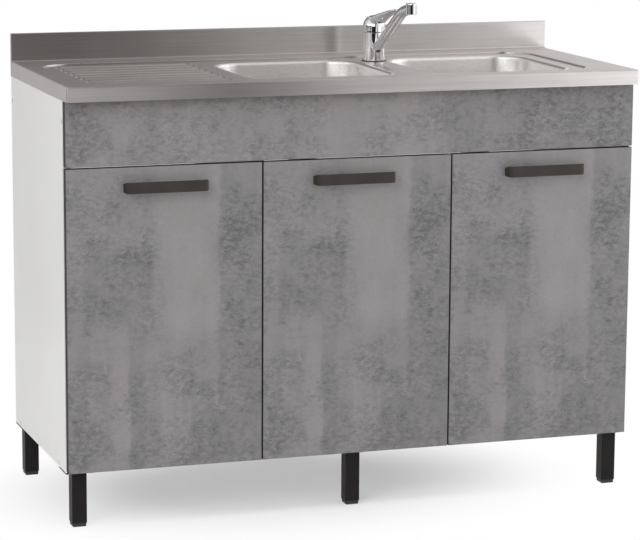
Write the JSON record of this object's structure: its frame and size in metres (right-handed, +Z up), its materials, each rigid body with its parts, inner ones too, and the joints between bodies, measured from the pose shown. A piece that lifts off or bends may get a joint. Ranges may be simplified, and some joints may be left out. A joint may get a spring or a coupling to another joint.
{
  "type": "kitchen sink unit",
  "caption": "Free-standing kitchen sink cabinet on square legs, with doors, a double-bowl steel sink with drainer and splash-back, wastes and a lever mixer tap.",
  "frame": {"origin": "on the floor, in the middle of the whole unit's width and depth", "axes": "+X along the unit, to the right of someone who stands at it; +Z up; the doors face -Y"},
  "size_m": [1.2, 0.504, 1.0106],
  "materials": {
    "white_board": "white melamine",
    "front_laminate": "matt concrete-look laminate",
    "stainless": "satin stainless steel",
    "chrome": "polished chrome",
    "plated_steel": "zinc or nickel plated",
    "black_steel": "black powder coat",
    "dark_handle": "dark satin",
    "black_plastic": "moulded",
    "white_plastic": "moulded",
    "plug_rubber": "moulded",
    "inner_plastic": "moulded",
    "batten_wood": "raw chipboard"
  },
  "bodies": {
    "cabinet": {"bottom_panel": "white_board", "cartridge": "inner_plastic", "false_front": "front_laminate", "front_centre_leg": "black_steel", "front_left_leg": "black_steel", "front_rail": "white_board", "front_right_leg": "black_steel", "hinge_arms": "plated_steel", "hinge_plates": "plated_steel", "hinge_screws": "plated_steel", "left_bowl": "stainless", "left_side": "white_board", "leg_plugs": "black_plastic", "partition": "white_board", "rear_bottom_rail": "white_board", "rear_centre_leg": "black_steel", "rear_left_leg": "black_steel", "rear_right_leg": "black_steel", "rear_top_rail": "white_board", "right_bowl": "stainless", "right_side": "white_board", "side_screws": "plated_steel", "sink_battens": "batten_wood", "sink_deck": "stainless", "sink_edge": "stainless", "tap_body": "chrome", "tap_clamp": "plated_steel", "tap_gasket": "black_plastic", "tap_nut": "plated_steel", "tap_stud": "plated_steel", "trap": "white_plastic", "union_nuts": "white_plastic", "waste_cups": "white_plastic", "waste_flanges": "stainless", "waste_pipe": "white_plastic", "wood_screws": "plated_steel"},
    "left_door": {"left_door": "front_laminate", "left_handle": "dark_handle", "left_door_screws": "plated_steel", "left_door_hinge_cups": "plated_steel"},
    "middle_door": {"middle_door": "front_laminate", "middle_handle": "dark_handle", "middle_door_screws": "plated_steel", "middle_door_hinge_cups": "plated_steel"},
    "right_door": {"right_door": "front_laminate", "right_handle": "dark_handle", "right_door_screws": "plated_steel", "right_door_hinge_cups": "plated_steel"},
    "spout": {"spout": "chrome", "aerator": "inner_plastic"},
    "cartridge_fork": {"cartridge_fork": "inner_plastic"},
    "lever": {"lever": "chrome"},
    "left_plug": {"left_plug": "plug_rubber"},
    "right_plug": {"right_plug": "plug_rubber"},
    "front_left_foot": {"front_left_foot": "black_plastic"},
    "front_centre_foot": {"front_centre_foot": "black_plastic"},
    "front_right_foot": {"front_right_foot": "black_plastic"},
    "rear_left_foot": {"rear_left_foot": "black_plastic"},
    "rear_centre_foot": {"rear_centre_foot": "black_plastic"},
    "rear_right_foot": {"rear_right_foot": "black_plastic"}
  },
  "joints": [
    {"name": "left_door_hinge", "type": "hinge", "parent": "cabinet", "child": "left_door", "pos_m": [-0.5916, -0.2197, 0.416], "axis": [0, 0, -1], "range_deg": [0, 95], "stiffness_Nm_per_rad": 0.3, "springref_deg": -34.38},
    {"name": "middle_door_hinge", "type": "hinge", "parent": "cabinet", "child": "middle_door", "pos_m": [-0.19193, -0.2197, 0.416], "axis": [0, 0, -1], "range_deg": [0, 95], "stiffness_Nm_per_rad": 0.3, "springref_deg": -34.38},
    {"name": "right_door_hinge", "type": "hinge", "parent": "cabinet", "child": "right_door", "pos_m": [0.5916, -0.2197, 0.416], "axis": [0, 0, 1], "range_deg": [0, 95], "stiffness_Nm_per_rad": 0.3, "springref_deg": -34.38},
    {"name": "front_left_foot_screw", "type": "slide", "parent": "cabinet", "child": "front_left_foot", "axis": [0, 0, -1], "range_m": [0, 0.012]},
    {"name": "front_centre_foot_screw", "type": "slide", "parent": "cabinet", "child": "front_centre_foot", "axis": [0, 0, -1], "range_m": [0, 0.012]},
    {"name": "front_right_foot_screw", "type": "slide", "parent": "cabinet", "child": "front_right_foot", "axis": [0, 0, -1], "range_m": [0, 0.012]},
    {"name": "rear_left_foot_screw", "type": "slide", "parent": "cabinet", "child": "rear_left_foot", "axis": [0, 0, -1], "range_m": [0, 0.012]},
    {"name": "rear_centre_foot_screw", "type": "slide", "parent": "cabinet", "child": "rear_centre_foot", "axis": [0, 0, -1], "range_m": [0, 0.012]},
    {"name": "rear_right_foot_screw", "type": "slide", "parent": "cabinet", "child": "rear_right_foot", "axis": [0, 0, -1], "range_m": [0, 0.012]},
    {"name": "spout_swivel", "type": "hinge", "parent": "cabinet", "child": "spout", "pos_m": [0.148, 0.102, 0.876], "axis": [0, 0, 1], "range_deg": [-90, 90]},
    {"name": "lever_turn", "type": "hinge", "parent": "cabinet", "child": "cartridge_fork", "pos_m": [0.148, 0.102, 0.95], "axis": [0, 0, 1], "range_deg": [-45, 45]},
    {"name": "lever_lift", "type": "hinge", "parent": "cartridge_fork", "child": "lever", "pos_m": [0.148, 0.102, 0.95], "axis": [-0.9912, -0.1323, 0], "range_deg": [0, 22]},
    {"name": "left_plug_lift", "type": "slide", "parent": "cabinet", "child": "left_plug", "axis": [0, 0, 1], "range_m": [0, 0.19]},
    {"name": "right_plug_lift", "type": "slide", "parent": "cabinet", "child": "right_plug", "axis": [0, 0, 1], "range_m": [0, 0.19]}
  ]
}
